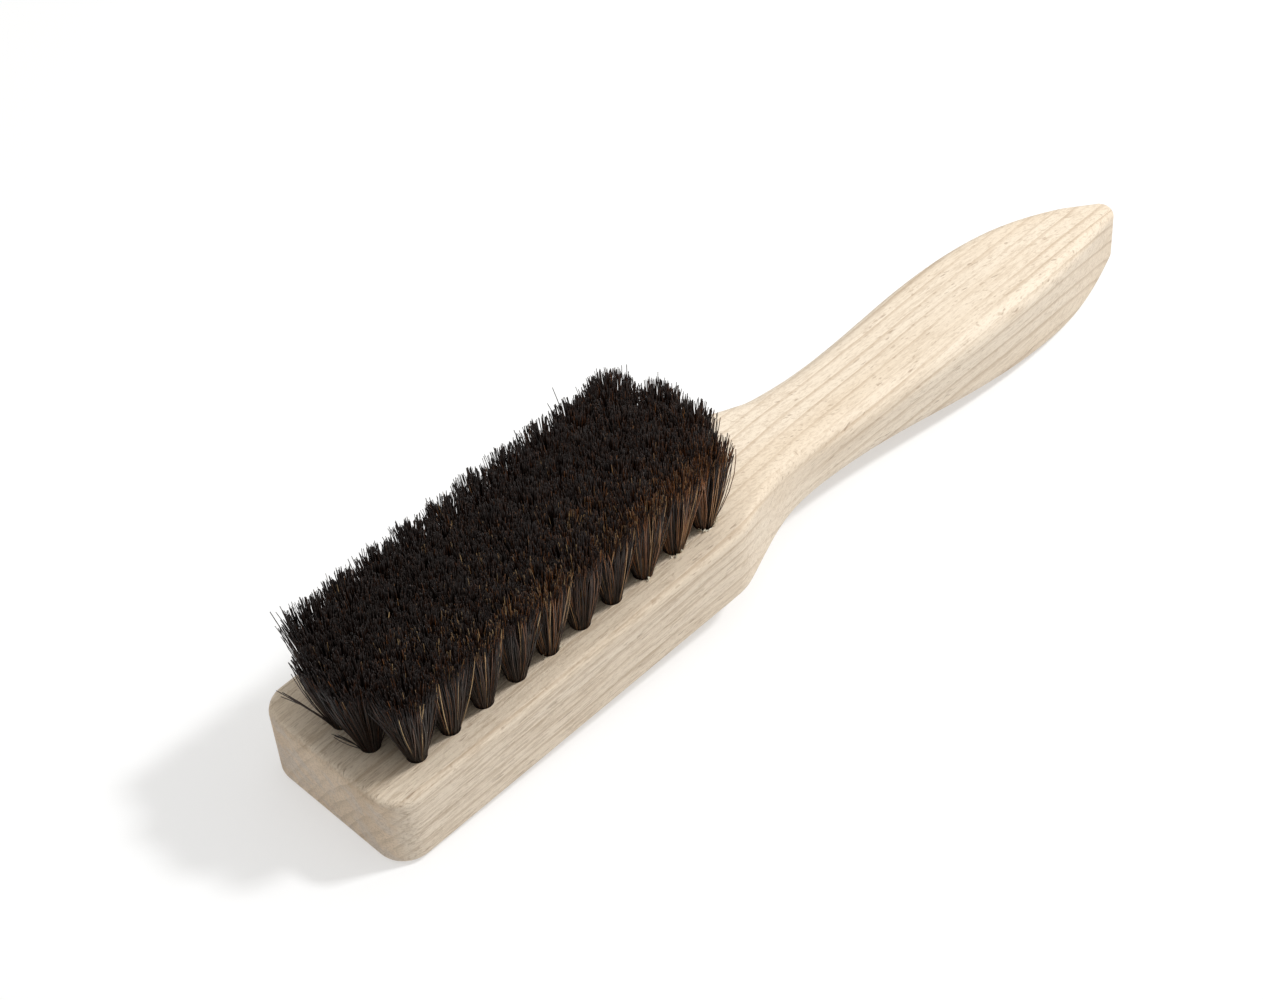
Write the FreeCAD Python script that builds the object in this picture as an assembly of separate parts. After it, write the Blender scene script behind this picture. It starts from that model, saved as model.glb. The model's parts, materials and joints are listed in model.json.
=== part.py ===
"""Neck duster brush: a one-piece beech body, 42 hair tufts and the wire staples that hold them.

Everything is drawn in the head's own frame (millimetres): X runs from the head's front end to
the tip of the handle, Z points out of the bristle face and z = 0 is the flat back of the head.
At the end the whole brush is tilted into the pose in which it rests on a table, bristles up:
on the front edge of the head's back and on the underside of the handle's end.
"""
import FreeCAD
import Part
import math
import os

from FreeCAD import Vector

# ---- driving dimensions (mm) ----
OVERALL_LENGTH = 232.0
HEAD_WIDTH = 39.2
HEAD_THICKNESS = 18.5
HEAD_CORNER_RADIUS = 6.5       # front corners, seen from above
SHOULDER_X = 88.0              # where the straight sides of the head end
FLAT_END_X = 92.0              # where the flat bristle face ends

NECK_X = 131.0                 # narrowest place
NECK_HALF_WIDTH = 10.3
TIP_RADIUS = 3.0               # soft point of the handle, seen from above
TIP_SIDE_ANGLE = 19.0          # degrees between the side and the X axis at the tip

# half widths of the shoulder and of the leaf-shaped grip: (x, y)
SHOULDER_POINTS = [(94.0, 19.1), (99.0, 17.2), (105.0, 14.8), (113.0, 12.1), (121.0, 10.7)]
GRIP_POINTS = [(142.0, 10.5), (156.0, 11.2), (170.0, 11.9), (183.0, 12.0), (197.0, 11.0),
               (210.0, 8.7), (220.0, 6.0)]

# the handle droops away from the bristle side: (x, z) of its two faces in side view
TOP_POINTS = [(99.0, 17.9), (107.0, 16.1), (121.0, 12.4), (134.0, 9.9), (150.0, 8.3),
              (169.0, 7.5), (190.0, 6.0), (206.0, 3.8), (220.0, 0.7)]
BACK_FLAT_END_X = 82.0
BACK_POINTS = [(94.0, -0.4), (105.0, -1.2), (121.0, -3.0), (142.0, -6.0), (156.0, -8.5),
               (169.0, -11.0), (183.0, -13.5), (197.0, -16.1), (208.0, -18.1), (220.0, -19.0)]
# both faces are drawn a little past the tip, to these heights, and the plan outline trims them
SIDE_OVERRUN = 1.0
TOP_END_Z = -3.6
BACK_END_Z = -17.5

HEAD_EDGE_RADIUS = 1.6         # rounding of the long edges on the head
NECK_EDGE_RADIUS = 4.0         # and at the neck, where the section is nearly oval
TIP_EDGE_RADIUS = 2.2          # and at the tip

# ---- tufts: two outer rows, and two inner rows set half a pitch further out ----
TUFT_PITCH = 8.5
FIRST_OUTER_X = 12.8
OUTER_ROW_Y = 12.2
INNER_ROW_Y = 4.0
OUTER_COUNT = 10
INNER_COUNT = 11
HOLE_RADIUS = 2.1
HOLE_DEPTH = 11.5
DRILL_POINT_HEIGHT = 1.2
ROOT_RADIUS = 2.05
TUFT_HEIGHT = 21.0
TUFT_TOP_RADIUS = 3.9

# ---- staples: one bent wire in the fold of each tuft ----
WIRE_RADIUS = 0.4
STAPLE_HALF_SPAN = 1.15        # from the middle to the centre of a leg
STAPLE_CROWN_ABOVE_BOTTOM = 2.0
STAPLE_LEG_BELOW_BOTTOM = 4.2
STAPLE_POINT = 0.9

# ---- working values ----
CUT_OVERRUN = 5.0              # how far a cutting shape sticks out of the wood
SAME_PLACE = 0.01              # points closer than this are the same point
MESH_TOLERANCE = 0.02          # for finding the lowest points
MOST_TILT = 20.0               # degrees
TILT_HALVINGS = 40


def mirrored(points):
    """The same points on the other side of the centre plane, in the opposite order."""
    return [Vector(p.x, -p.y, p.z) for p in reversed(points)]


def spline(points, start_direction, end_direction):
    """A smooth edge through the points with the given directions at its two ends."""
    curve = Part.BSplineCurve()
    curve.interpolate(Points=points, InitialTangent=start_direction, FinalTangent=end_direction)
    return curve.toShape()


def arc(start, middle, end):
    return Part.Arc(start, middle, end).toShape()


def line(start, end):
    return Part.LineSegment(start, end).toShape()


def plan_face():
    """The outline seen from above, symmetrical about the X axis."""
    half = HEAD_WIDTH / 2
    radius = HEAD_CORNER_RADIUS
    slant = radius * (1 - math.cos(math.radians(45)))
    corner = [Vector(0, half - radius, 0), Vector(slant, half - slant, 0), Vector(radius, half, 0)]
    shoulder = [Vector(SHOULDER_X, half, 0)]
    shoulder += [Vector(x, y, 0) for x, y in SHOULDER_POINTS]
    shoulder += [Vector(NECK_X, NECK_HALF_WIDTH, 0)]
    lean = math.radians(TIP_SIDE_ANGLE)
    tip_side = Vector(OVERALL_LENGTH - TIP_RADIUS * (1 - math.sin(lean)),
                      TIP_RADIUS * math.cos(lean), 0)
    grip = [Vector(NECK_X, NECK_HALF_WIDTH, 0)]
    grip += [Vector(x, y, 0) for x, y in GRIP_POINTS]
    grip += [tip_side]
    tip = Vector(OVERALL_LENGTH, 0, 0)
    along = Vector(1, 0, 0)
    back = Vector(-1, 0, 0)
    inward = Vector(math.cos(lean), -math.sin(lean), 0)
    outward = Vector(-math.cos(lean), -math.sin(lean), 0)
    edges = [
        arc(*corner),
        line(corner[2], shoulder[0]),
        spline(shoulder, along, along),
        spline(grip, along, inward),
        arc(tip_side, tip, mirrored([tip_side])[0]),
        spline(mirrored(grip), outward, back),
        spline(mirrored(shoulder), back, back),
        line(mirrored(shoulder)[-1], mirrored(corner)[0]),
        arc(*mirrored(corner)),
        line(mirrored(corner)[2], corner[0]),
    ]
    return Part.Face(Part.Wire(edges))


def side_face():
    """The outline seen from the side: a flat block that runs into a drooping handle."""
    half = HEAD_WIDTH / 2
    beyond = OVERALL_LENGTH + SIDE_OVERRUN
    top = [Vector(FLAT_END_X, -half, HEAD_THICKNESS)]
    top += [Vector(x, -half, z) for x, z in TOP_POINTS]
    top += [Vector(beyond, -half, TOP_END_Z)]
    back = [Vector(BACK_FLAT_END_X, -half, 0)]
    back += [Vector(x, -half, z) for x, z in BACK_POINTS]
    back += [Vector(beyond, -half, BACK_END_Z)]
    front_top = Vector(0, -half, HEAD_THICKNESS)
    front_back = Vector(0, -half, 0)
    along = Vector(1, 0, 0)
    edges = [
        line(front_back, front_top),
        line(front_top, top[0]),
        spline(top, along, (top[-1] - top[-2]).normalize()),
        line(top[-1], back[-1]),
        spline(list(reversed(back)), (back[-2] - back[-1]).normalize(), along.negative()),
        line(back[0], front_back),
    ]
    return Part.Face(Part.Wire(edges))


def edge_radius(x):
    """Rounding of the long edges: tight on the head, soft at the neck, middling at the tip."""
    if x <= FLAT_END_X:
        return HEAD_EDGE_RADIUS
    if x <= NECK_X:
        share = (x - FLAT_END_X) / (NECK_X - FLAT_END_X)
        return HEAD_EDGE_RADIUS + share * (NECK_EDGE_RADIUS - HEAD_EDGE_RADIUS)
    share = (x - NECK_X) / (OVERALL_LENGTH - NECK_X)
    return NECK_EDGE_RADIUS + share * (TIP_EDGE_RADIUS - NECK_EDGE_RADIUS)


def is_upright(edge):
    """Whether an edge runs straight through the thickness, as the seams of the sides do."""
    first, last = edge.Vertexes[0].Point, edge.Vertexes[-1].Point
    return math.hypot(first.x - last.x, first.y - last.y) < SAME_PLACE


def crosses_a_face(edge):
    """Whether an edge only runs across the top or the back, where two surfaces join smoothly."""
    first, last = edge.Vertexes[0].Point, edge.Vertexes[-1].Point
    from_side_to_side = (abs(first.x - last.x) < SAME_PLACE
                         and abs(first.y + last.y) < SAME_PLACE)
    at_front = first.x < SAME_PLACE
    at_tip = edge.BoundBox.XMin > OVERALL_LENGTH - TIP_RADIUS
    return from_side_to_side and not at_front and not at_tip


def with_round_edges(shape):
    """The body with every long edge rounded, by a radius that changes along the handle."""
    document = FreeCAD.newDocument("brush")
    base = document.addObject("Part::Feature", "base")
    base.Shape = shape
    rounded = document.addObject("Part::Fillet", "rounded")
    rounded.Base = base
    rounding = []
    for index, edge in enumerate(base.Shape.Edges, start=1):
        if is_upright(edge) or crosses_a_face(edge):
            continue
        start = edge.valueAt(edge.FirstParameter)
        end = edge.valueAt(edge.LastParameter)
        rounding.append((index, edge_radius(start.x), edge_radius(end.x)))
    # the longest edge comes first: the changing radius is only laid out well from there
    rounding.sort(key=lambda item: -base.Shape.Edges[item[0] - 1].Length)
    rounded.Edges = rounding
    document.recompute()
    result = rounded.Shape.copy()
    FreeCAD.closeDocument(document.Name)
    return result


def body_blank():
    """The shaped piece of beech before it is drilled."""
    lowest = min(z for x, z in BACK_POINTS) - CUT_OVERRUN
    height = HEAD_THICKNESS + CUT_OVERRUN - lowest
    plan = plan_face()
    plan.translate(Vector(0, 0, lowest))
    seen_from_above = plan.extrude(Vector(0, 0, height))
    seen_from_side = side_face().extrude(Vector(0, HEAD_WIDTH, 0))
    blank = seen_from_above.common(seen_from_side)
    return with_round_edges(blank.Solids[0])


def hole(x, y):
    """One blind tuft hole with the cone that its drill leaves."""
    bottom = HEAD_THICKNESS - HOLE_DEPTH
    bore = Part.makeCylinder(HOLE_RADIUS, HOLE_DEPTH + CUT_OVERRUN, Vector(x, y, bottom))
    point = Part.makeCone(0, HOLE_RADIUS, DRILL_POINT_HEIGHT,
                          Vector(x, y, bottom - DRILL_POINT_HEIGHT))
    return bore.fuse(point)


def staple(x, y):
    """A U of round wire: its crown lies in the fold of the tuft, its legs go into the wood."""
    bottom = HEAD_THICKNESS - HOLE_DEPTH
    bend_z = bottom + STAPLE_CROWN_ABOVE_BOTTOM
    leg_end = bottom - STAPLE_LEG_BELOW_BOTTOM
    crown = Part.makeTorus(STAPLE_HALF_SPAN, WIRE_RADIUS, Vector(x, y, bend_z), Vector(0, 1, 0))
    reach = STAPLE_HALF_SPAN + 2 * WIRE_RADIUS
    upper_half = Part.makeBox(2 * reach, 2 * reach, reach, Vector(x - reach, y - reach, bend_z))
    wire = crown.common(upper_half)
    for side in (-1, 1):
        leg_x = x + side * STAPLE_HALF_SPAN
        leg = Part.makeCylinder(WIRE_RADIUS, bend_z - leg_end, Vector(leg_x, y, leg_end))
        point = Part.makeCone(WIRE_RADIUS / 4, WIRE_RADIUS, STAPLE_POINT,
                              Vector(leg_x, y, leg_end - STAPLE_POINT))
        wire = wire.fuse(leg).fuse(point)
    return wire.removeSplitter().Solids[0]


def tuft(x, y, wire):
    """A bundle of hair, folded round its staple in the hole and flared above the wood."""
    bottom = HEAD_THICKNESS - HOLE_DEPTH
    root = Part.makeCylinder(ROOT_RADIUS, HOLE_DEPTH, Vector(x, y, bottom))
    flare = Part.makeCone(ROOT_RADIUS, TUFT_TOP_RADIUS, TUFT_HEIGHT, Vector(x, y, HEAD_THICKNESS))
    return root.fuse(flare).cut(wire).Solids[0]


def tuft_places():
    """Row name, number in the row, x and y of every tuft."""
    first_inner_x = FIRST_OUTER_X - TUFT_PITCH / 2
    rows = [
        ("row_1", -OUTER_ROW_Y, FIRST_OUTER_X, OUTER_COUNT),
        ("row_2", -INNER_ROW_Y, first_inner_x, INNER_COUNT),
        ("row_3", INNER_ROW_Y, first_inner_x, INNER_COUNT),
        ("row_4", OUTER_ROW_Y, FIRST_OUTER_X, OUTER_COUNT),
    ]
    for name, y, first_x, count in rows:
        for number in range(count):
            yield name, number + 1, first_x + number * TUFT_PITCH, y


def resting_angle(body):
    """Tilt in degrees at which the head's front and the handle's end touch the table together."""
    points = body.tessellate(MESH_TOLERANCE)[0]
    front = [p for p in points if p.x < SHOULDER_X]
    rear = [p for p in points if p.x > NECK_X]

    def lowest(cloud, angle):
        return min(p.z * math.cos(angle) + p.x * math.sin(angle) for p in cloud)

    low, high = 0.0, math.radians(MOST_TILT)
    for _ in range(TILT_HALVINGS):
        middle = (low + high) / 2
        if lowest(rear, middle) < lowest(front, middle):
            low = middle
        else:
            high = middle
    return math.degrees(low)


def main():
    os.makedirs("parts", exist_ok=True)
    body = body_blank()
    staples = []
    pieces = {}
    for row, number, x, y in tuft_places():
        wire = staple(x, y)
        staples.append(wire)
        pieces[f"tuft_{row}_{number:02d}"] = tuft(x, y, wire)
        body = body.cut(hole(x, y)).cut(wire)
    pieces["brush_body"] = body.Solids[0]
    pieces["staples"] = Part.makeCompound(staples)

    angle = resting_angle(pieces["brush_body"])
    for shape in pieces.values():
        shape.rotate(Vector(0, 0, 0), Vector(0, 1, 0), -angle)
    points = pieces["brush_body"].tessellate(MESH_TOLERANCE)[0]
    lowest = min(p.z for p in points)
    middle = (min(p.x for p in points) + max(p.x for p in points)) / 2
    to_floor = Vector(-middle, 0, -lowest)
    for name, shape in pieces.items():
        shape.translate(to_floor)
        shape.exportStep(f"parts/{name}.step")
    placed = FreeCAD.Placement(to_floor, FreeCAD.Rotation(Vector(0, 1, 0), -angle))
    print("tilt in degrees:", round(angle, 3))
    print("middle of the flat back:", placed.multVec(Vector(SHOULDER_X / 2, 0, 0)))
    print("outward normal of the back:", placed.Rotation.multVec(Vector(0, 0, -1)))
    print("body volume, valid:", round(pieces["brush_body"].Volume), pieces["brush_body"].isValid())


main()
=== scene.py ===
import json
import math

import bpy
import numpy as np
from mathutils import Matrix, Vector


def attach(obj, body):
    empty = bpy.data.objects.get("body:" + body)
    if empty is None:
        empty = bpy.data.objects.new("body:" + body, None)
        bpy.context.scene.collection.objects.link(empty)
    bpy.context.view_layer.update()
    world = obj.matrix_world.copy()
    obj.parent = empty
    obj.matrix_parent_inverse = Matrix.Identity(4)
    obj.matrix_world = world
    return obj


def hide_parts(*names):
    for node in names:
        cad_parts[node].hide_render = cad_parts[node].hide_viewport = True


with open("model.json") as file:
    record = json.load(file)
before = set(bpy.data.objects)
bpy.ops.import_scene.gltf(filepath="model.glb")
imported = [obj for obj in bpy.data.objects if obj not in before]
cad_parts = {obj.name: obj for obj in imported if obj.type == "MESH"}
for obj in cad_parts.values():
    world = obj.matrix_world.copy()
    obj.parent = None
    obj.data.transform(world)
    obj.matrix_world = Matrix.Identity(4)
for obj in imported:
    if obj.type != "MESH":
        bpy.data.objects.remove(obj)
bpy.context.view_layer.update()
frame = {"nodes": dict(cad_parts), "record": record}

# Lengths are in metres. The head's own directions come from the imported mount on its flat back:
# ALONG runs from the head's front to the handle, ACROSS lies along Y, and OUT leaves the wood
# with the bristles.
MM = 0.001
BACK_NORMAL = Vector(frame["record"]["mounts"][0]["axis"])
OUT = -BACK_NORMAL
ACROSS = Vector((0, 1, 0))
ALONG = ACROSS.cross(OUT)
TILT = math.atan2(ALONG.z, ALONG.x)

# ---- tufts ----
TUFT_HEIGHT = 21.0 * MM        # hair above the wood
HOLE_DEPTH = 11.5 * MM
BUNDLE_RADIUS = 1.98 * MM      # the bundle as it leaves its hole
FAN_RADIUS = 5.3 * MM          # the bundle at the cut ends
FAN_DROP = 0.5 * MM            # how much lower the leaning outer ends are
FAN_CORNERS = 0.18             # how much further it reaches diagonally, between its neighbours
FRONT_LEAN = 1.8 * MM          # how far the ends lean out where no neighbour holds them
HANDLE_LEAN = 0.7 * MM
SIDE_LEAN = 0.4 * MM
LOOSE_SHARE = 0.05             # strands of the near row that cross the others on their own
LOOSE_SPREAD = 1.7 * MM
STRANDS = 300                  # strands folded in one tuft, with two free ends each
STRAND_RADIUS = 0.094 * MM
CUT_END_TAPER = 0.85           # radius of the cut end against the rest
STRAND_SIDES = 3
CLUMPS = 60                    # small bunches that the free ends gather in
CLUMP_PULL = (0.1, 0.7)        # how far a free end moves towards its bunch
FOLD_HALF_WIDTH = 0.55 * MM    # room under the staple's crown
FOLD_HEIGHTS = (0.3 * MM, 2.3 * MM)
FOLD_RISE = 1.6 * MM           # from the fold to the next ring of the strand
# where the rings lie between the wood and the cut end
ABOVE_STEPS = (0.0, 0.2, 0.42, 0.66, 0.87, 1.0)

# random spread of the hair: standard deviations, or the least and most of a range
FAN_SPREAD = (0.82, 1.18)
TOP_SCATTER = 0.4 * MM
CLUMP_SCATTER = 0.25 * MM
STRAND_LIFT = 0.15 * MM
CLUMP_LIFT = 0.20 * MM
TUFT_LIFT = 0.22 * MM
SWAY = 0.35 * MM
CURL = (0.92, 1.15)            # over 1, a strand leaves the wood upright and flares later
THICKNESS = (0.75, 1.25)

# hairs that bend away from their tuft: how many, their lean along and across, and their height
STRAYS = {"tuft_row_2_01": (4, (-3.4 * MM, 1.4 * MM), 7.0 * MM),
          "tuft_row_3_01": (4, (-8.2 * MM, 1.8 * MM), 16.0 * MM),
          "tuft_row_4_01": (12, (-3.0 * MM, 4.2 * MM), 20.3 * MM),
          "tuft_row_1_01": (4, (-5.0 * MM, -1.5 * MM), 19.5 * MM),
          "tuft_row_1_10": (4, (3.8 * MM, -0.6 * MM), 21.2 * MM),
          "tuft_row_1_09": (2, (6.0 * MM, -2.5 * MM), 19.5 * MM)}
STRAY_SCATTER = 0.9 * MM
STRAY_LIFT = 0.54 * MM

# tones of hair run from 0, black-brown, to 1, blonde
BROWN_TONE = 0.28
TONE_SPREAD = 0.16
AMBER_TONE = 0.66              # from here on a strand is amber or blonde
AMBER_LEAST = 0.01             # share of amber strands away from the near row
AMBER_FRONT = 0.07             # and in the near row at the front
AMBER_MORE = 0.20              # how much more of them there are towards the handle
TUFT_WARMTH = (0.2, 1.8)       # a tuft's own factor on the amber share
FAR_HALF = 0.35                # how much the half of a tuft behind its staple has of both

# torn wood that the drill left standing round a few holes of the near row: how many fibres
SPLINTERS = {"tuft_row_1_10": 16, "tuft_row_1_09": 13, "tuft_row_1_08": 8, "tuft_row_1_05": 4}
SPLINTER_RADIUS = 0.09 * MM
SPLINTER_STEPS = 5
SPLINTER_ANGLES = (-2.9, -0.3)  # radians round the hole, all on its near side
SPLINTER_ALONG = (0.3 * MM, 1.3 * MM)
SPLINTER_ACROSS = (-0.7 * MM, 0.1 * MM)
SPLINTER_RISE = (0.1 * MM, 0.9 * MM)
SPLINTER_SCATTER = 0.05 * MM
SPLINTER_THICKNESS = (0.7, 1.5)
SPLINTER_TAPER = 0.4           # radius of a fibre's free end against the rest
RIM_RADIUS = 2.12 * MM

# ---- wood ----
RADIAL_ANGLE = math.radians(30)  # from Y up to the direction away from the pith
PITH_DISTANCE = 150 * MM
RING_WIDTH = 2.5 * MM
SANDED_FROM_X = -15 * MM       # the handle is sanded from here on
SAWN_TO_X = -45 * MM           # and the head is as sawn up to here

PALE_WOOD = (0.785, 0.680, 0.550, 1)
WARM_WOOD = (0.730, 0.610, 0.470, 1)
LATE_WOOD = (0.470, 0.345, 0.230, 1)
STREAKS = (0.510, 0.390, 0.270, 1)
FIBRES = (0.455, 0.345, 0.240, 1)
RAYS = (0.370, 0.260, 0.170, 1)
DASHES = (0.310, 0.215, 0.145, 1)
PORES = (0.370, 0.270, 0.185, 1)
END_PALE = (0.745, 0.600, 0.450, 1)
END_DARK = (0.640, 0.495, 0.350, 1)
END_RINGS = (0.420, 0.315, 0.215, 1)
END_SMEARS = (0.620, 0.545, 0.475, 1)
END_STIPPLE = (0.330, 0.250, 0.170, 1)

# ---- camera and floor ----
CAMERA_TARGET = Vector((-0.0234, 0.0125, 0.012))
CAMERA_DISTANCE = 0.6132
CAMERA_AZIMUTH = -45.06        # degrees
CAMERA_ELEVATION = 44.43
CAMERA_LENS = 85.5             # for a sensor 36 wide
LIGHT_TARGET = Vector((0, 0, 0.01))
FLOOR_HALF_SIZE = 3.0

rng = np.random.default_rng(20417)


# ---------------------------------------------------------------- camera, light and floor

def aim(obj, target):
    """Turns a camera or lamp to look at a point."""
    obj.rotation_euler = (target - obj.location).to_track_quat("-Z", "Y").to_euler()


def direction(azimuth, elevation):
    """Unit vector towards a viewer; azimuth 0 looks along +Y, 90 along -X."""
    a, e = math.radians(azimuth), math.radians(elevation)
    return Vector((math.sin(a) * math.cos(e), -math.cos(a) * math.cos(e), math.sin(e)))


def make_camera():
    camera = bpy.data.objects.new("camera", bpy.data.cameras.new("camera"))
    bpy.context.scene.collection.objects.link(camera)
    offset = CAMERA_DISTANCE * direction(CAMERA_AZIMUTH, CAMERA_ELEVATION)
    camera.location = CAMERA_TARGET + offset
    camera.data.lens = CAMERA_LENS
    camera.data.sensor_width = 36
    camera.data.clip_start = 0.01
    camera.data.clip_end = 20
    aim(camera, CAMERA_TARGET)
    bpy.context.scene.camera = camera


def make_light(name, toward, distance, size, watts, colour):
    """A square soft box that shines at the brush from the given direction."""
    data = bpy.data.lights.new(name, "AREA")
    data.size = size
    data.energy = watts
    data.color = colour
    lamp = bpy.data.objects.new(name, data)
    bpy.context.scene.collection.objects.link(lamp)
    lamp.location = toward.normalized() * distance
    aim(lamp, LIGHT_TARGET)


def make_studio():
    """Soft white light all round, a lamp from the handle's end, and a large one overhead."""
    world = bpy.data.worlds.new("studio")
    world.use_nodes = True
    background = world.node_tree.nodes["Background"]
    background.inputs["Color"].default_value = (1.0, 1.0, 1.0, 1)
    background.inputs["Strength"].default_value = 0.24
    bpy.context.scene.world = world
    bpy.context.scene.view_settings.view_transform = "Standard"
    make_light("key", toward=Vector((0.58, -0.42, 1.0)), distance=1.1, size=0.13,
               watts=8.6, colour=(0.98, 0.99, 1.0))
    make_light("overhead", toward=Vector((0, 0, 1)), distance=1.6, size=2.2,
               watts=18.5, colour=(1.0, 0.985, 0.945))


def make_floor():
    """A plain pale floor that glows a little, so that the brush's shadow stays faint."""
    mesh = bpy.data.meshes.new("floor")
    size = FLOOR_HALF_SIZE
    corners = [(-size, -size, 0), (size, -size, 0), (size, size, 0), (-size, size, 0)]
    mesh.from_pydata(corners, [], [(0, 1, 2, 3)])
    floor = bpy.data.objects.new("floor", mesh)
    bpy.context.scene.collection.objects.link(floor)
    material = bpy.data.materials.new("floor")
    material.use_nodes = True
    shader = material.node_tree.nodes["Principled BSDF"]
    shader.inputs["Base Color"].default_value = (0.48, 0.48, 0.48, 1)
    shader.inputs["Roughness"].default_value = 0.9
    shader.inputs["Specular IOR Level"].default_value = 0.1
    shader.inputs["Emission Color"].default_value = (1, 1, 1, 1)
    shader.inputs["Emission Strength"].default_value = 0.47
    mesh.materials.append(material)


# ---------------------------------------------------------------- material helpers

class Graph:
    """A short way to build a material's nodes."""

    def __init__(self, name):
        self.material = bpy.data.materials.new(name)
        self.material.use_nodes = True
        self.tree = self.material.node_tree
        self.shader = self.tree.nodes["Principled BSDF"]

    def node(self, kind, settings=None, **inputs):
        """A node with its settings, and its inputs set to values or linked to sockets."""
        made = self.tree.nodes.new(kind)
        for key, value in (settings or {}).items():
            setattr(made, key, value)
        for key, value in inputs.items():
            self.put(made.inputs[key.replace("_", " ")], value)
        return made

    def put(self, socket, value):
        if isinstance(value, bpy.types.NodeSocket):
            self.tree.links.new(value, socket)
        else:
            socket.default_value = value

    def math(self, operation, a, b=0.5, clamp=False):
        made = self.tree.nodes.new("ShaderNodeMath")
        made.operation = operation
        made.use_clamp = clamp
        self.put(made.inputs[0], a)
        self.put(made.inputs[1], b)
        return made.outputs[0]

    def mix(self, share, a, b):
        made = self.tree.nodes.new("ShaderNodeMix")
        made.data_type = "RGBA"
        self.put(made.inputs["Factor"], share)
        self.put(made.inputs["A"], a)
        self.put(made.inputs["B"], b)
        return made.outputs["Result"]

    def stain(self, colour, mask, strength, stain):
        """The colour with a stain over it where the mask is 1."""
        return self.mix(self.math("MULTIPLY", mask, strength), colour, stain)

    def ramp(self, share, *stops):
        """A colour ramp: stops are (position, colour)."""
        made = self.tree.nodes.new("ShaderNodeValToRGB")
        self.put(made.inputs["Fac"], share)
        elements = made.color_ramp.elements
        while len(elements) < len(stops):
            elements.new(0.5)
        for element, (position, colour) in zip(elements, stops):
            element.position = position
            element.color = (*colour, 1)
        return made.outputs["Color"]

    def step(self, value, low, high):
        """0 below low, 1 above high, smooth between."""
        made = self.node("ShaderNodeMapRange", {"interpolation_type": "SMOOTHSTEP"})
        self.put(made.inputs["Value"], value)
        made.inputs["From Min"].default_value = low
        made.inputs["From Max"].default_value = high
        return made.outputs["Result"]

    def noise(self, vector, detail, roughness=0.5):
        made = self.tree.nodes.new("ShaderNodeTexNoise")
        self.put(made.inputs["Vector"], vector)
        made.inputs["Scale"].default_value = 1.0
        made.inputs["Detail"].default_value = detail
        made.inputs["Roughness"].default_value = roughness
        return made.outputs["Fac"]

    def stretched(self, vector, scale, turn=(0, 0, 0), move=(0, 0, 0)):
        """The vector turned and then scaled by axis, for a pattern with a direction."""
        turned = self.node("ShaderNodeMapping", {"vector_type": "POINT"}, Vector=vector)
        turned.inputs["Rotation"].default_value = turn
        turned.inputs["Location"].default_value = move
        made = self.node("ShaderNodeMapping", {"vector_type": "POINT"},
                         Vector=turned.outputs["Vector"])
        made.inputs["Scale"].default_value = scale
        return made.outputs["Vector"]

    def bump(self, height, strength, distance):
        """Lets the height stand out in the light; distance is in metres."""
        made = self.node("ShaderNodeBump", Height=height)
        made.inputs["Strength"].default_value = strength
        made.inputs["Distance"].default_value = distance
        self.put(self.shader.inputs["Normal"], made.outputs["Normal"])


# ---------------------------------------------------------------- beech

def rings(g, grain):
    """The distance from the pith, wandering a little and cut into years, and its dark late wood."""
    place = g.node("ShaderNodeSeparateXYZ", Vector=grain)
    wander = g.noise(g.stretched(grain, (11, 45, 45)), 2.0)
    uneven = g.noise(g.stretched(grain, (2, 210, 12), move=(0.4, 0, 0)), 1.0)
    bow = g.math("MULTIPLY", g.math("MULTIPLY", place.outputs["Z"], place.outputs["Z"]),
                 0.5 / PITH_DISTANCE)
    depth = g.math("ADD", place.outputs["Y"], bow)
    depth = g.math("ADD", depth, g.math("MULTIPLY", wander, 2.4 * MM))
    depth = g.math("ADD", depth, g.math("MULTIPLY", uneven, 2.6 * MM))
    year = g.math("FRACT", g.math("DIVIDE", depth, RING_WIDTH))
    late = g.math("MULTIPLY", g.step(year, 0.70, 0.96), g.step(year, 1.0, 0.98))
    patchy = g.step(g.noise(g.stretched(grain, (22, 160, 60)), 2.0), 0.30, 0.62)
    late = g.math("MULTIPLY", late, g.math("ADD", g.math("MULTIPLY", patchy, 0.7), 0.3))
    return year, patchy, late


def end_face(g, grain, broad, year, patchy, stipple):
    """End grain: darker, with a stipple of cut fibres, soft rings and greyish patches."""
    smear = g.noise(g.stretched(grain, (60, 130, 300), move=(0.2, 0, 0)), 3.0, 0.6)
    soft_rings = g.math("MULTIPLY", g.step(year, 0.4, 1.0), patchy)
    colour = g.mix(g.step(broad, 0.35, 0.65), END_PALE, END_DARK)
    colour = g.stain(colour, soft_rings, 0.42, END_RINGS)
    colour = g.stain(colour, g.step(smear, 0.46, 0.60), 0.60, END_SMEARS)
    return g.stain(colour, g.step(stipple, 0.42, 0.66), 0.42, END_STIPPLE)


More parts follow.
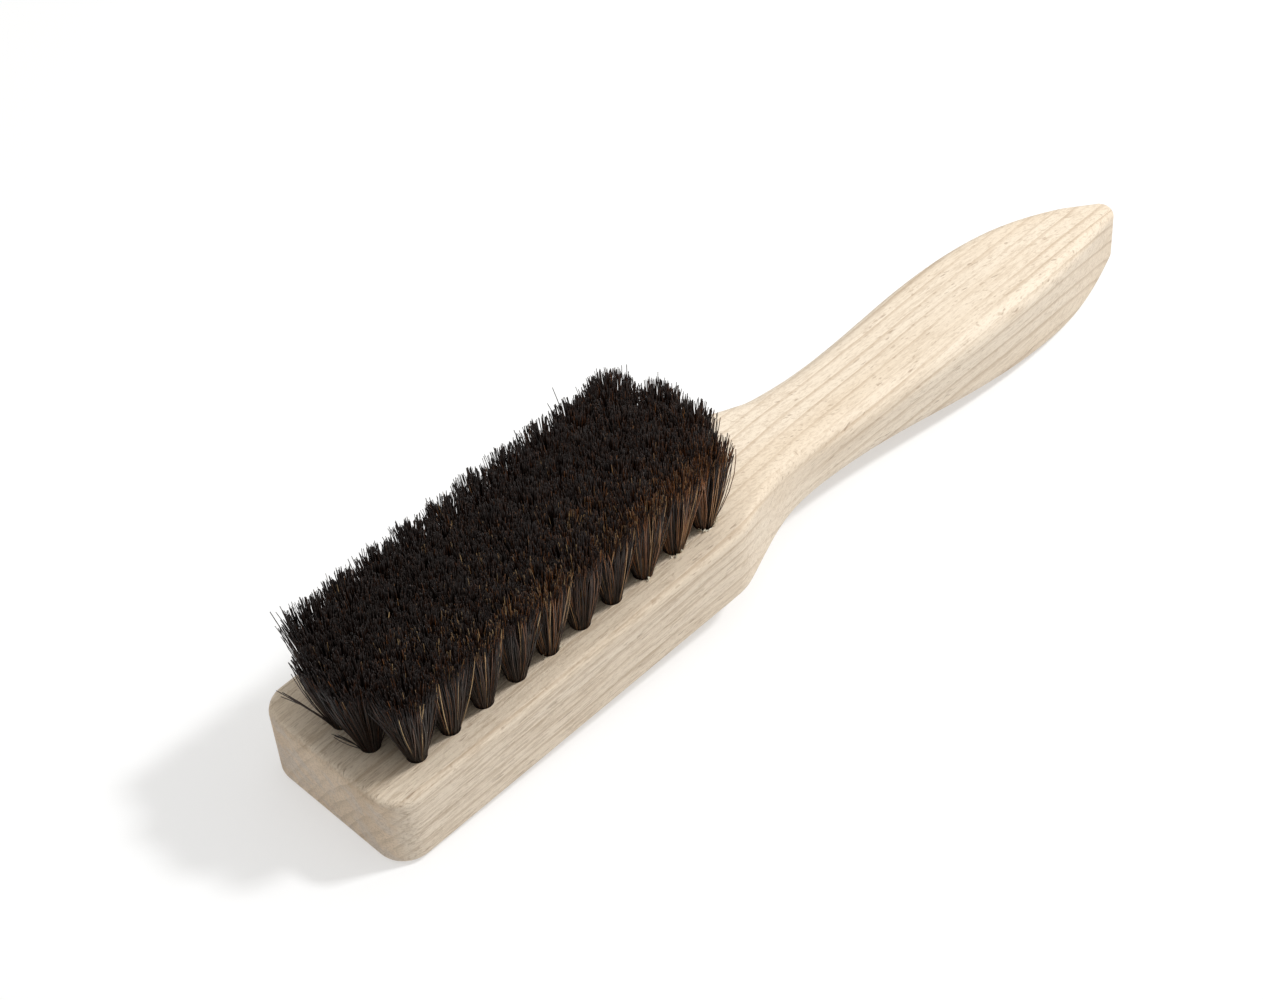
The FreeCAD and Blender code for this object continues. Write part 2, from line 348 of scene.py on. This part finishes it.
def beech():
    """Raw beech. Its rings, rays and fibres are solid, so they run on round every edge."""
    g = Graph("beech")
    coordinates = g.node("ShaderNodeTexCoord").outputs["Object"]
    board = g.stretched(coordinates, (1, 1, 1), turn=(0, TILT, 0))
    # X along the grain, Y out from the pith, Z round it
    grain = g.stretched(board, (1, 1, 1), turn=(-RADIAL_ANGLE, 0, 0))
    year, patchy, late = rings(g, grain)

    # the head is left as the saw and the cutter made it, the handle is sanded smooth
    sawn = g.step(g.node("ShaderNodeSeparateXYZ", Vector=board).outputs["X"],
                  SANDED_FROM_X, SAWN_TO_X)

    # long fibres, and broad shifts of tone
    fibre = g.noise(g.stretched(grain, (110, 1900, 1900)), 5.0, 0.75)
    streak = g.noise(g.stretched(grain, (17, 900, 500), move=(0.3, 0, 0)), 3.0, 0.55)
    broad = g.noise(g.stretched(grain, (7, 90, 40), move=(0.7, 0, 0)), 2.0)

    # cut ends of the fibres, seen on the end faces
    stipple = g.noise(g.stretched(grain, (700, 2600, 2600)), 4.0, 0.7)

    # rays: thin sheets that run out from the pith, seen as short dark dashes
    ray_field = g.noise(g.stretched(grain, (520, 230, 3900)), 1.0, 0.4)
    ray = g.step(ray_field, 0.665, 0.76)
    dash_field = g.noise(g.stretched(grain, (260, 700, 2300), move=(0.1, 0, 0)), 1.0, 0.4)
    dash = g.step(dash_field, 0.70, 0.77)
    pore = g.step(g.noise(g.stretched(grain, (900, 3600, 3600)), 2.0, 0.6), 0.50, 0.68)

    # how far a face looks along the board: 1 on end grain
    normal = g.node("ShaderNodeNewGeometry").outputs["Normal"]
    facing = g.node("ShaderNodeVectorMath", {"operation": "DOT_PRODUCT"})
    g.put(facing.inputs[0], normal)
    facing.inputs[1].default_value = tuple(ALONG)
    end_grain = g.step(g.math("ABSOLUTE", facing.outputs["Value"]), 0.5, 0.95)

    fuzz = g.math("ADD", g.math("MULTIPLY", sawn, 0.30), 0.36)
    colour = g.mix(g.step(broad, 0.32, 0.68), PALE_WOOD, WARM_WOOD)
    colour = g.stain(colour, late, 0.60, LATE_WOOD)
    colour = g.stain(colour, g.step(streak, 0.50, 0.75), 0.28, STREAKS)
    colour = g.stain(colour, g.step(fibre, 0.47, 0.63), fuzz, FIBRES)
    colour = g.stain(colour, ray, 0.45, RAYS)
    colour = g.stain(colour, dash, 0.55, DASHES)
    colour = g.stain(colour, pore, 0.26, PORES)
    colour = g.mix(end_grain, colour, end_face(g, grain, broad, year, patchy, stipple))
    g.put(g.shader.inputs["Base Color"], colour)

    rough = g.math("ADD", g.math("MULTIPLY", fibre, 0.25), 0.50)
    g.put(g.shader.inputs["Roughness"], rough)
    g.shader.inputs["Specular IOR Level"].default_value = 0.3

    relief = g.math("ADD", g.math("MULTIPLY", fibre, 0.7), g.math("MULTIPLY", stipple, 0.7))
    relief = g.math("MULTIPLY", relief, g.math("ADD", sawn, 0.55))
    for groove, depth in ((ray, 0.35), (dash, 0.45), (late, 0.20)):
        relief = g.math("SUBTRACT", relief, g.math("MULTIPLY", groove, depth))
    g.bump(relief, 0.7, 0.20 * MM)
    return g.material


def torn_wood():
    """Pale, fuzzy wood where the drill tore its fibres."""
    g = Graph("torn_beech")
    coordinates = g.node("ShaderNodeTexCoord").outputs["Object"]
    cloud = g.noise(g.stretched(coordinates, (700, 1500, 1500)), 3.0)
    g.put(g.shader.inputs["Base Color"], g.ramp(cloud, (0.35, (0.70, 0.62, 0.44)),
                                                (0.65, (0.84, 0.79, 0.66))))
    g.put(g.shader.inputs["Roughness"], g.math("ADD", g.math("MULTIPLY", cloud, 0.2), 0.7))
    return g.material


def wire():
    """Drawn, zinc-coated staple wire."""
    g = Graph("staple_wire")
    coordinates = g.node("ShaderNodeTexCoord").outputs["Object"]
    cloud = g.noise(g.stretched(coordinates, (900, 900, 300)), 3.0)
    g.put(g.shader.inputs["Base Color"], g.ramp(cloud, (0.3, (0.46, 0.46, 0.45)),
                                                (0.7, (0.66, 0.65, 0.62))))
    g.put(g.shader.inputs["Roughness"], g.math("ADD", g.math("MULTIPLY", cloud, 0.3), 0.2))
    g.shader.inputs["Metallic"].default_value = 1.0
    return g.material


def horsehair():
    """Dark horsehair: each strand has its own tone, from black-brown to amber and blonde."""
    g = Graph("horsehair")
    tone = g.node("ShaderNodeAttribute", {"attribute_name": "tone"}).outputs["Fac"]
    along = g.node("ShaderNodeAttribute", {"attribute_name": "along"}).outputs["Fac"]
    coordinates = g.node("ShaderNodeTexCoord").outputs["Object"]
    mottle = g.noise(g.stretched(coordinates, (900, 900, 260)), 2.0)
    shifted = g.math("ADD", tone, g.math("MULTIPLY", g.math("SUBTRACT", mottle, 0.5), 0.12))
    colour = g.ramp(shifted, (0.0, (0.008, 0.006, 0.006)), (0.40, (0.021, 0.011, 0.008)),
                    (0.62, (0.085, 0.032, 0.014)), (0.80, (0.300, 0.116, 0.038)),
                    (1.0, (0.720, 0.500, 0.250)))
    # painted shade: strands are darkened in the hole and for a few millimetres above the wood,
    # where the crowded tufts shade their bases; the cut ends are darkened as well
    root = g.math("MULTIPLY", g.step(along, 0.56, 0.36), 0.5)
    tip = g.math("MULTIPLY", g.step(along, 0.93, 0.99), 0.72)
    colour = g.mix(g.math("ADD", root, tip), colour, (0.012, 0.008, 0.007, 1))
    g.put(g.shader.inputs["Base Color"], colour)
    g.put(g.shader.inputs["Roughness"], g.math("ADD", g.math("MULTIPLY", mottle, 0.25), 0.28))
    g.shader.inputs["Specular IOR Level"].default_value = 0.32
    g.bump(mottle, 0.2, 0.03 * MM)
    return g.material


# ---------------------------------------------------------------- strands

def tubes(paths, radii):
    """Points, quads and end caps of closed strands.

    Paths are strands x rings x 3, and radii are strands x rings.
    """
    count, steps, _ = paths.shape
    tangent = np.gradient(paths, axis=1)
    tangent /= np.linalg.norm(tangent, axis=2, keepdims=True)
    # any fixed direction that no strand runs along
    side = np.cross(tangent, np.array([0.31, 0.82, 0.27]))
    side /= np.linalg.norm(side, axis=2, keepdims=True)
    other = np.cross(tangent, side)
    turn = np.linspace(0, 2 * np.pi, STRAND_SIDES, endpoint=False)
    ring = (side[:, :, None] * np.cos(turn)[:, None] + other[:, :, None] * np.sin(turn)[:, None])
    points = paths[:, :, None] + ring * radii[:, :, None, None]
    index = np.arange(count * steps * STRAND_SIDES).reshape(count, steps, STRAND_SIDES)
    following = np.roll(index, -1, axis=2)
    quads = np.stack([index[:, :-1], following[:, :-1], following[:, 1:], index[:, 1:]], -1)
    starts = index[:, 0, ::-1].reshape(-1, STRAND_SIDES)
    ends = index[:, -1].reshape(-1, STRAND_SIDES)
    return points.reshape(-1, 3), quads.reshape(-1, 4), np.concatenate([starts, ends])


def mesh_piece(name, paths, radii, material):
    """A piece of closed strands that rides on the brush."""
    points, quads, caps = tubes(paths, radii)
    mesh = bpy.data.meshes.new(name)
    mesh.from_pydata(points.tolist(), [], quads.tolist() + caps.tolist())
    mesh.polygons.foreach_set("use_smooth", np.ones(len(mesh.polygons), bool))
    mesh.materials.append(material)
    mesh.update()
    piece = bpy.data.objects.new(name, mesh)
    bpy.context.scene.collection.objects.link(piece)
    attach(piece, "root")
    return piece


def hair_piece(name, paths, radii, tones, material):
    """Strands of hair, which also know the tone of each ring and its place along the strand."""
    piece = mesh_piece(name, paths, radii, material)
    height = (paths - paths.min(axis=1, keepdims=True)) @ np.array(OUT)
    share = height / height.max(axis=1, keepdims=True)
    for key, values in (("tone", tones), ("along", share)):
        layer = piece.data.attributes.new(key, "FLOAT", "POINT")
        layer.data.foreach_set("value", np.repeat(values, STRAND_SIDES).astype(np.float32))
    return piece


def disc(count, radius):
    """Evenly spread random places in a disc."""
    around = rng.uniform(0, 2 * np.pi, count)
    out = radius * np.sqrt(rng.uniform(0, 1, count))
    return np.stack([out * np.cos(around), out * np.sin(around)], 1)


def to_world(base, local):
    """Places along, across and out of the head, from a point on its face."""
    axes = np.array([ALONG, ACROSS, OUT])
    return np.array(base) + local @ axes


def free_ends(roots, height, lean, loose_share, stray):
    """Paths from the wood to the cut ends: strands x steps x 3, measured from the hole's mouth."""
    count = len(roots)
    clump_roots = disc(CLUMPS, BUNDLE_RADIUS)
    nearest = np.linalg.norm(roots[:, None] - clump_roots[None], axis=2).argmin(axis=1)
    spread = FAN_RADIUS / BUNDLE_RADIUS
    tops = roots * spread * rng.uniform(*FAN_SPREAD, (count, 1))
    diagonal = np.sin(2 * np.arctan2(roots[:, 1:], roots[:, :1])) ** 2
    tops *= 1 + FAN_CORNERS * diagonal
    tops += rng.normal(0, TOP_SCATTER, (count, 2))
    clump_tops = clump_roots * spread + rng.normal(0, CLUMP_SCATTER, (CLUMPS, 2))
    pull = rng.uniform(*CLUMP_PULL, (count, 1))
    gather = (clump_tops[nearest] - tops) * pull
    out = np.linalg.norm(tops, axis=1) / FAN_RADIUS

    # ends on the free side lean out the most
    reach = np.clip(0.4 + 0.6 * roots * np.sign(lean) / BUNDLE_RADIUS, 0, 1)
    tops += lean * reach

    loose = rng.uniform(0, 1, count) < loose_share
    tops[loose] += rng.normal(0, LOOSE_SPREAD, (loose.sum(), 2))
    lift = height - FAN_DROP * out ** 2 + rng.normal(0, STRAND_LIFT, count)
    lift += rng.normal(0, CLUMP_LIFT, CLUMPS)[nearest]
    sway = rng.normal(0, SWAY, (count, 2))
    curl = rng.uniform(*CURL, (count, 1))

    # the strays bend away as a few hairs on their own
    if stray:
        number, away, top = stray
        chosen = (roots @ np.array(away)).argsort()[-number:]
        gather[chosen] = 0
        tops[chosen] = roots[chosen] + np.array(away) + rng.normal(0, STRAY_SCATTER, (number, 2))
        lift[chosen] = top + rng.normal(0, STRAY_LIFT, number)

    paths = np.zeros((count, len(ABOVE_STEPS), 3))
    for i, share in enumerate(ABOVE_STEPS):
        bow = sway * math.sin(math.pi * share)
        paths[:, i, :2] = roots + (tops - roots) * share ** curl + gather * share ** 3 + bow
        paths[:, i, 2] = lift * share
    return paths


def folded_strands(height, lean, loose_share, stray):
    """Whole strands: up on one side of the staple, down under its crown and up on the other."""
    left, right = disc(STRANDS, BUNDLE_RADIUS), disc(STRANDS, BUNDLE_RADIUS)
    left[:, 1] = -np.abs(left[:, 1])
    right[:, 1] = np.abs(right[:, 1])
    fold = np.zeros((STRANDS, 1, 3))
    fold[:, 0, 0] = rng.uniform(-FOLD_HALF_WIDTH, FOLD_HALF_WIDTH, STRANDS)
    fold[:, 0, 2] = rng.uniform(*FOLD_HEIGHTS, STRANDS) - HOLE_DEPTH
    halves = []
    for roots in (left, right):
        # two rings in the hole: a little above the fold, and on the way to the mouth
        inside = np.zeros((STRANDS, 2, 3))
        inside[:, 0, :2] = roots * (0.7, 0.5)
        inside[:, 0, 2] = fold[:, 0, 2] + FOLD_RISE
        inside[:, 1, :2] = roots * 0.95
        inside[:, 1, 2] = -0.4 * HOLE_DEPTH
        # the strays come from the half of the tuft on the side that they lean to
        leans_here = stray and roots[:, 1].mean() * stray[1][1] > 0
        free = free_ends(roots, height, lean, loose_share, stray if leans_here else None)
        halves.append(np.concatenate([inside, free], axis=1))
    return np.concatenate([halves[0][:, ::-1], fold, halves[1]], axis=1)


def tuft_mouth(node):
    """The point in the middle of a tuft's hole, on the face of the wood."""
    corners = [v.co for v in frame["nodes"][node].data.vertices]
    top = max(c.dot(OUT) for c in corners)
    ring = [c for c in corners if c.dot(OUT) > top - 0.5 * MM]
    centre = sum(ring, Vector()) / len(ring)
    return centre + OUT * (top - TUFT_HEIGHT - centre.dot(OUT))


def tones_for(near, back, steps):
    """Tones of a tuft's rings: dark, with amber on the near side and towards the handle."""
    middle = steps // 2
    tones = np.zeros((STRANDS, steps))
    warmth = rng.uniform(*TUFT_WARMTH)
    # the first half of each strand stands on the near side of its staple
    for half, outside in ((slice(0, middle), 1.0), (slice(middle, steps), FAR_HALF)):
        facing = outside * near ** 3
        amber = AMBER_LEAST + warmth * facing * (AMBER_FRONT + AMBER_MORE * min(1, 2.5 * back))
        brown = BROWN_TONE + 0.08 * facing + 0.10 * back ** 2
        values = np.clip(rng.normal(brown, TONE_SPREAD, STRANDS), 0, AMBER_TONE)
        lit = rng.uniform(0, 1, STRANDS) < amber
        values[lit] = rng.uniform(AMBER_TONE, 1.0 - 0.15 * back ** 2, lit.sum())
        tones[:, half] = values[:, None]
    return tones


def make_tufts(material):
    names = sorted(n for n in frame["nodes"] if n.startswith("tuft_"))
    mouths = {n: tuft_mouth(n) for n in names}
    first = min(m.x for m in mouths.values())
    last = max(m.x for m in mouths.values())
    for node in names:
        row = int(node.split("_")[2])
        mouth = mouths[node]
        back = (mouth.x - first) / (last - first)
        # the tufts at both ends lean away from the rest, and so do the outer rows
        lean = np.array([HANDLE_LEAN * (back > 0.94) - FRONT_LEAN * (back < 0.06),
                         SIDE_LEAN * (row == 4) - SIDE_LEAN * (row == 1)])
        height = TUFT_HEIGHT + rng.normal(0, TUFT_LIFT)
        loose_share = LOOSE_SHARE if row == 1 else 0.2 * LOOSE_SHARE
        local = folded_strands(height, lean, loose_share, STRAYS.get(node))
        radii = np.full(local.shape[:2], STRAND_RADIUS) * rng.uniform(*THICKNESS, (STRANDS, 1))
        radii[:, [0, -1]] *= CUT_END_TAPER
        tones = tones_for((4 - row) / 3, back, local.shape[1])
        name = node.replace("tuft", "hair")
        tuft = hair_piece(name, to_world(mouth, local), radii, tones, material)
        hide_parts(node)


def make_splinters(material):
    """Short curled fibres on the near side of a few holes, mostly lying along the grain."""
    paths = []
    for node, count in SPLINTERS.items():
        around = rng.uniform(*SPLINTER_ANGLES, count)
        rim = np.stack([np.cos(around), np.sin(around)], 1) * RIM_RADIUS
        aside = np.stack([np.sign(np.cos(around)) * rng.uniform(*SPLINTER_ALONG, count),
                          rng.uniform(*SPLINTER_ACROSS, count)], 1)
        rise = rng.uniform(*SPLINTER_RISE, count)
        for start, sideways, top in zip(rim, aside, rise):
            steps = np.linspace(0, 1, SPLINTER_STEPS)[:, None]
            bend = np.sin(np.pi * 0.8 * steps) * top
            scatter = rng.normal(0, SPLINTER_SCATTER, (SPLINTER_STEPS, 2))
            flat = start + sideways * steps + scatter
            path = np.concatenate([flat, bend], axis=1)
            paths.append(to_world(tuft_mouth(node), path))
    paths = np.array(paths)
    thickness = rng.uniform(*SPLINTER_THICKNESS, (len(paths), 1))
    radii = np.full(paths.shape[:2], SPLINTER_RADIUS) * thickness
    radii[:, -1] *= SPLINTER_TAPER
    mesh_piece("hole_splinters", paths, radii, material)


# ---------------------------------------------------------------- build

make_camera()
make_studio()
make_floor()
for node, material in (("brush_body", beech()), ("staples", wire())):
    frame["nodes"][node].data.materials.clear()
    frame["nodes"][node].data.materials.append(material)
make_tufts(horsehair())
make_splinters(torn_wood())
